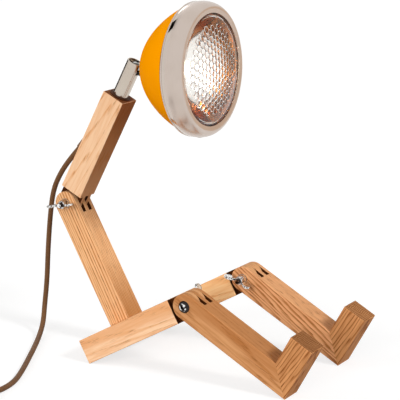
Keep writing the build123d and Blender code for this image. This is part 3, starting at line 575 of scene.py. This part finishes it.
def dress_metal():
    dress(chromed_bolt("chromed_head", True), "right_knee_bolt")
    dress(chromed_bolt("chromed_thread", False), "left_knee_bolt", "waist_bolt")
    dress(cast_chrome("cast_chrome"), *[f"{hinge}_wing_nut" for hinge in HINGES])
    washers = [f"{hinge}_washer" for hinge in HINGES]
    dress(zinc_plate("zinc_plate", srgb(190, 190, 186)), *washers, "torso_screw", "neck_ring", "tilt_lug",
          "lug_nut", "bezel_screw", "bezel_clips", "switch_screws")
    dress(bezel_plate("nickel_bezel", srgb(204, 190, 180), srgb(200, 188, 178)), "bezel_ring")
    dress(nickel_plate("nickel_tube", srgb(202, 191, 178), 0.16), "neck_tube", "tilt_pin", "plug_pins")


def dress_the_rest():
    dress(gloss_enamel("orange_enamel", srgb(255, 160, 0)), "head_shell")
    dress(moulded("brown_nylon", srgb(74, 42, 22), shine=0.1), "neck_bush")
    dress(moulded("amber_rubber", srgb(132, 76, 30), 0.6, shine=0.1), "lens_gasket")
    dress(moulded("black_rubber", srgb(24, 23, 22), 0.6), "head_grommet")
    dress(moulded("brown_rubber", srgb(112, 80, 54), 0.6), "cord_gland")
    dress(moulded("glazed_ceramic", srgb(236, 232, 224), 0.2), "lamp_holder")
    opal = moulded("opal_bulb", srgb(246, 240, 226), 0.3)
    opal.set("Emission Color", srgb(255, 244, 222))
    opal.set("Emission Strength", 1.4)
    dress(opal, "led_bulb")
    dress(moulded("black_lead", srgb(20, 18, 18), 0.4), "holder_wires", "inner_cable")
    dress(moulded("strap", srgb(22, 22, 22), 0.6), "coil_tie")
    brown = moulded("brown_plastic", srgb(74, 48, 34), 0.3, 900.0)
    dress(brown, "switch_base", "switch_top", "plug_body", "plug_relief")
    dress(moulded("brown_rocker", srgb(92, 62, 44), 0.25, 900.0), "switch_rocker")
    dress(mirror_coat("mirror_coat"), "reflector")


# ---------------------------------------------------------------- glass
def deselect():
    bpy.ops.object.select_all(action="DESELECT")


def edit(piece, kind):
    deselect()
    bpy.context.view_layer.objects.active = piece
    piece.select_set(True)
    bpy.ops.object.mode_set(mode="EDIT")
    bpy.ops.mesh.select_mode(type=kind)


def leave():
    bpy.ops.object.mode_set(mode="OBJECT")


def dome(radius):
    """Front of the glass at a distance from its axis, behind its top."""
    ball = (DOME_R**2 + GLASS_BULGE**2) / (2 * GLASS_BULGE)
    return ball - sqrt(ball * ball - min(radius, DOME_R) ** 2)


def honeycomb():
    """A flat round field of pillow-shaped hexagonal cells, in the XY plane."""
    row_step = CELL * sqrt(3) / 2
    bpy.ops.mesh.primitive_circle_add(vertices=6, radius=CELL / sqrt(3), fill_type="NGON")
    field = bpy.context.object
    edit(field, "FACE")
    for rim, rise in CELL_STEPS:
        bpy.ops.mesh.inset(thickness=rim, depth=rise)
    leave()
    pattern = field.data
    cells = bmesh.new()
    rows = int(CELLS_REACH / row_step) + 1
    columns = rows + 4
    for row in range(-rows, rows + 1):
        for place in range(-columns, columns + 1):
            x, y = (place + row % 2 / 2) * CELL, row * row_step
            if x * x + y * y > CELLS_REACH**2:
                continue
            before = len(cells.verts)
            cells.from_mesh(pattern)
            cells.verts.ensure_lookup_table()
            bmesh.ops.translate(cells, verts=cells.verts[before:], vec=(x, y, 0))
    bmesh.ops.remove_doubles(cells, verts=cells.verts, dist=CELL / 50)
    cells.to_mesh(field.data)
    cells.free()
    return field


def grow(shape, rim, radius, height):
    """Draws a round rim out to another radius and height. Returns the new rim."""
    grown = bmesh.ops.extrude_edge_only(shape, edges=rim)["geom"]
    for vert in [item for item in grown if isinstance(item, bmesh.types.BMVert)]:
        vert.co.xy = vert.co.xy.normalized() * radius
        vert.co.z = height
    return [item for item in grown if isinstance(item, bmesh.types.BMEdge) and item.is_boundary]


def lamp_glass():
    """Bulging glass: smooth in front, honeycomb behind, with a flat edge."""
    field = honeycomb()
    deselect()
    bpy.ops.mesh.primitive_circle_add(vertices=RING_POINTS, radius=CELLS_BORDER)
    field.select_set(True)
    bpy.context.view_layer.objects.active = field
    bpy.ops.object.join()
    edit(field, "EDGE")
    bpy.ops.mesh.select_all(action="DESELECT")
    bpy.ops.mesh.select_non_manifold(extend=False, use_wire=True, use_boundary=True, use_multi_face=False,
                                     use_non_contiguous=False, use_verts=False)
    bpy.ops.mesh.fill(use_beauty=True)
    leave()
    shape = bmesh.new()
    shape.from_mesh(field.data)
    rim = [edge for edge in shape.edges if edge.is_boundary]
    edge = [(DOME_R - DOME_LIP, 0), (DOME_R, 0), (GLASS_R, 0), (GLASS_R, -GLASS_T), (DOME_R, -GLASS_T)]
    for radius, height in (*CELLS_RIB, *edge):
        rim = grow(shape, rim, radius, height)
    for step in range(1, DOME_RINGS):
        rim = grow(shape, rim, DOME_R * (1 - step / DOME_RINGS), -GLASS_T)
    bmesh.ops.contextual_create(shape, geom=rim)
    # The field looks back, into the lamp, so its relief is turned about, and both walls take the dome.
    for vert in shape.verts:
        radius = vert.co.xy.length
        swell = GLASS_BULGE - dome(radius)
        vert.co.z = GLASS_FRONT - GLASS_T - vert.co.z + swell
    lie = Matrix(((0, 0, 1), (0, -1, 0), (1, 0, 0))).to_4x4()
    stand = Matrix.Translation(TILT_PIN) @ Matrix.Rotation(radians(-HEAD_RISE), 4, "Y") @ lie
    bmesh.ops.transform(shape, matrix=stand, verts=shape.verts)
    bmesh.ops.recalc_face_normals(shape, faces=shape.faces)
    shape.to_mesh(field.data)
    shape.free()
    field.name = "honeycomb_glass"
    field.data.materials.append(pressed_glass("pressed_glass").material)
    bpy.ops.object.shade_smooth_by_angle(angle=radians(GLASS_CREASE))
    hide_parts("lens")
    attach(field, "head")


# ---------------------------------------------------------------- cord
def spline_line(points):
    """The smooth line that a cord follows, from the control points of its route."""
    curve = bpy.data.curves.new("route", "CURVE")
    curve.dimensions = "3D"
    spline = curve.splines.new("NURBS")
    spline.points.add(len(points) - 1)
    for control, point in zip(spline.points, points):
        control.co = (*point, 1.0)
    spline.order_u = 3
    spline.use_endpoint_u = True
    spline.resolution_u = CORD_STEPS
    route = bpy.data.objects.new("route", curve)
    mesh = bpy.data.meshes.new_from_object(route)
    line = [vert.co.copy() for vert in mesh.vertices]
    bpy.data.meshes.remove(mesh)
    bpy.data.objects.remove(route)
    bpy.data.curves.remove(curve)
    return line


def sheath(name, points, finish, reach_out=CORD_R, sides=CORD_SIDES):
    """A round tube along a route, with its UV map in turns around and metres along."""
    line = spline_line(points)
    shape = bmesh.new()
    lie = shape.loops.layers.uv.new("sheath")
    rings, reach, across = [], [0.0], Vector((0, 1, 0))
    for number, spot in enumerate(line):
        ahead = (line[min(number + 1, len(line) - 1)] - line[max(number - 1, 0)]).normalized()
        across = (across - across.dot(ahead) * ahead).normalized()
        up = ahead.cross(across)
        ring = []
        for side in range(sides):
            turn = 2 * pi * side / sides
            ring.append(shape.verts.new(spot + (across * cos(turn) + up * sin(turn)) * reach_out))
        rings.append(ring)
        if number:
            reach.append(reach[-1] + (spot - line[number - 1]).length)
    for number in range(len(rings) - 1):
        for side in range(sides):
            beside = (side + 1) % sides
            face = shape.faces.new((rings[number][side], rings[number][beside], rings[number + 1][beside],
                                    rings[number + 1][side]))
            face.smooth = True
            corners = ((side, number), (side + 1, number), (side + 1, number + 1), (side, number + 1))
            for loop, (around, along) in zip(face.loops, corners):
                loop[lie].uv = (around / sides, reach[along])
    shape.faces.new(list(reversed(rings[0])))
    shape.faces.new(rings[-1])
    mesh = bpy.data.meshes.new(name)
    shape.to_mesh(mesh)
    shape.free()
    cord = bpy.data.objects.new(name, mesh)
    bpy.context.collection.objects.link(cord)
    mesh.materials.append(finish.material)
    return cord, line


def coil_points():
    """Control points of the put-away turns, clockwise from the side of the switch."""
    points = []
    total = int((len(COIL_TURNS) - 1 + LAST_TURN) * COIL_POINTS)
    for step in range(total + 1):
        number, share = divmod(step / COIL_POINTS, 1)
        number = int(number)
        radius, height = COIL_TURNS[number]
        following = COIL_TURNS[min(number + 1, len(COIL_TURNS) - 1)]
        over = max(0.0, (share - 1 + TURN_CHANGE) / TURN_CHANGE)
        radius += (following[0] - radius) * over
        height += (following[1] - height) * over
        angle = radians(COIL_START) - 2 * pi * step / COIL_POINTS
        wide = radius / cos(pi / COIL_POINTS)
        points.append((COIL_MIDDLE[0] + wide * cos(angle), COIL_MIDDLE[1] + wide * sin(angle), height))
    return points


def mains_cord():
    finish = braid("braided_textile")
    lamp_end, line = sheath("cord_to_switch", HANGING + LYING, finish)
    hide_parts("cord_drop", "cord_run")
    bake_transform(lamp_end)
    plug_end, line = sheath("cord_to_plug", FEED + coil_points() + TAIL, finish)
    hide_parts("cord_feed", "cord_coil", "cord_tail")
    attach(plug_end, "pelvis")


def lamp_lead():
    """Lead from the neck tube into the headlamp."""
    jacket = moulded("lead_jacket", srgb(20, 18, 18), 0.4)
    lead, _ = sheath("lamp_lead", LEAD, jacket, LEAD_R, LEAD_SIDES)
    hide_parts("head_lead")
    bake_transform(lead)


# ---------------------------------------------------------------- stage
def camera():
    data = bpy.data.cameras.new("camera")
    data.lens = CAMERA_LENS
    data.clip_end = 50
    eye = bpy.data.objects.new("camera", data)
    bpy.context.collection.objects.link(eye)
    yaw = Matrix.Rotation(radians(CAMERA_YAW), 4, "Z")
    pitch = Matrix.Rotation(radians(90 - CAMERA_PITCH), 4, "X")
    roll = Matrix.Rotation(radians(CAMERA_ROLL), 4, "Z")
    eye.matrix_world = Matrix.Translation(CAMERA_PLACE) @ (yaw @ pitch) @ roll
    bpy.context.scene.camera = eye


def seen(tree):
    """A socket that is 1 where the camera, a reflection or glass looks."""
    path = tree.nodes.new("ShaderNodeLightPath")
    total = path.outputs["Is Camera Ray"]
    for name in ("Is Glossy Ray", "Is Transmission Ray"):
        both = tree.nodes.new("ShaderNodeMath")
        both.operation = "MAXIMUM"
        tree.links.new(total, both.inputs[0])
        tree.links.new(path.outputs[name], both.inputs[1])
        total = both.outputs[0]
    return total


def choose(tree, hidden, shown, end):
    """Ends a node tree in the shader that is seen, or in the one that only lights the lamp."""
    choice = tree.nodes.new("ShaderNodeMixShader")
    tree.links.new(seen(tree), choice.inputs[0])
    tree.links.new(hidden.outputs[0], choice.inputs[1])
    tree.links.new(shown.outputs[0], choice.inputs[2])
    tree.links.new(choice.outputs[0], tree.nodes[end].inputs["Surface"])


def floor():
    bpy.ops.mesh.primitive_plane_add(size=16)
    ground = bpy.context.object
    ground.name = "floor"
    material = bpy.data.materials.new("pale_floor")
    material.use_nodes = True
    tree = material.node_tree
    shown = tree.nodes["Principled BSDF"]
    fill(shown, Base_Color=FLOOR_SHOWN, Roughness=0.9, Specular_IOR_Level=0.0, Emission_Color=WHITE,
         Emission_Strength=FLOOR_GLOW)
    plain = tree.nodes.new("ShaderNodeBsdfDiffuse")
    fill(plain, Color=FLOOR_BOUNCE)
    choose(tree, plain, shown, "Material Output")
    ground.data.materials.append(material)


def world():
    sky = bpy.data.worlds.new("studio")
    bpy.context.scene.world = sky
    sky.use_nodes = True
    tree = sky.node_tree
    light = tree.nodes["Background"]
    fill(light, Color=SKY_TINT, Strength=SKY_STRENGTH)
    shown = tree.nodes.new("ShaderNodeBackground")
    fill(shown, Color=WHITE, Strength=1.0)
    choose(tree, light, shown, "World Output")


def even_light(name, towards, strength, spread):
    """A broad even light from one side, as from a large softbox. Metal shows the cards instead."""
    data = bpy.data.lights.new(name, "SUN")
    data.energy = strength
    data.angle = radians(spread)
    lamp = bpy.data.objects.new(name, data)
    bpy.context.collection.objects.link(lamp)
    lamp.rotation_euler = Vector(towards).to_track_quat("Z", "Y").to_euler()
    lamp.visible_glossy = False


def card(name, towards, size, colour, strength=1.0, in_metal=True):
    """A studio card around the lamp, which only metal and glass show, or glass alone."""
    bpy.ops.mesh.primitive_plane_add(size=1)
    board = bpy.context.object
    board.name = name
    place = Vector(towards).normalized() * CARDS_AWAY + Vector(CARDS_MIDDLE)
    turn = (-Vector(towards)).to_track_quat("Z", "Y").to_matrix().to_4x4()
    stand = Matrix.Translation(place) @ turn @ Matrix.Diagonal((*size, 1, 1))
    board.data.transform(stand)
    paint = bpy.data.materials.new(name)
    paint.use_nodes = True
    shader = paint.node_tree.nodes["Principled BSDF"]
    fill(shader, Base_Color=BLACK, Specular_IOR_Level=0.0, Emission_Color=colour,
         Emission_Strength=strength)
    board.data.materials.append(paint)
    board.visible_camera = False
    board.visible_diffuse = False
    board.visible_shadow = False
    board.visible_glossy = in_metal


camera()
bpy.context.scene.view_settings.view_transform = "Standard"
dress_timber()
dress_metal()
dress_the_rest()
lamp_glass()
mains_cord()
lamp_lead()
floor()
world()
even_light("front_light", (0.1, -0.95, 0.3), strength=1.75, spread=30)
even_light("key", (0.78, -0.15, 0.6), strength=1.6, spread=12)
even_light("low_light", (0.95, -0.22, 0.04), strength=0.65, spread=25)
even_light("fill", (-0.75, -0.55, 0.37), strength=0.8, spread=40)
card("high_dark_card", (-0.74, 0.05, 0.66), (0.6, 0.8), srgb(16, 14, 12))
card("low_dark_card", (-0.69, 0.72, 0.0), (0.7, 0.7), srgb(16, 14, 12))
card("side_dark_card", (-0.970, 0.242, 0.1), (1.15, 0.8), srgb(24, 20, 18))
card("high_softbox", (-0.64, 0.59, 0.486), (0.5, 0.5), WHITE, strength=2.4)
card("warm_card", (0.49, 0.86, -0.06), (2.2, 1.6), srgb(238, 214, 192))
card("front_softbox", (0.85, -0.5, 0.1), (1.6, 1.4), WHITE, strength=1.45, in_metal=False)
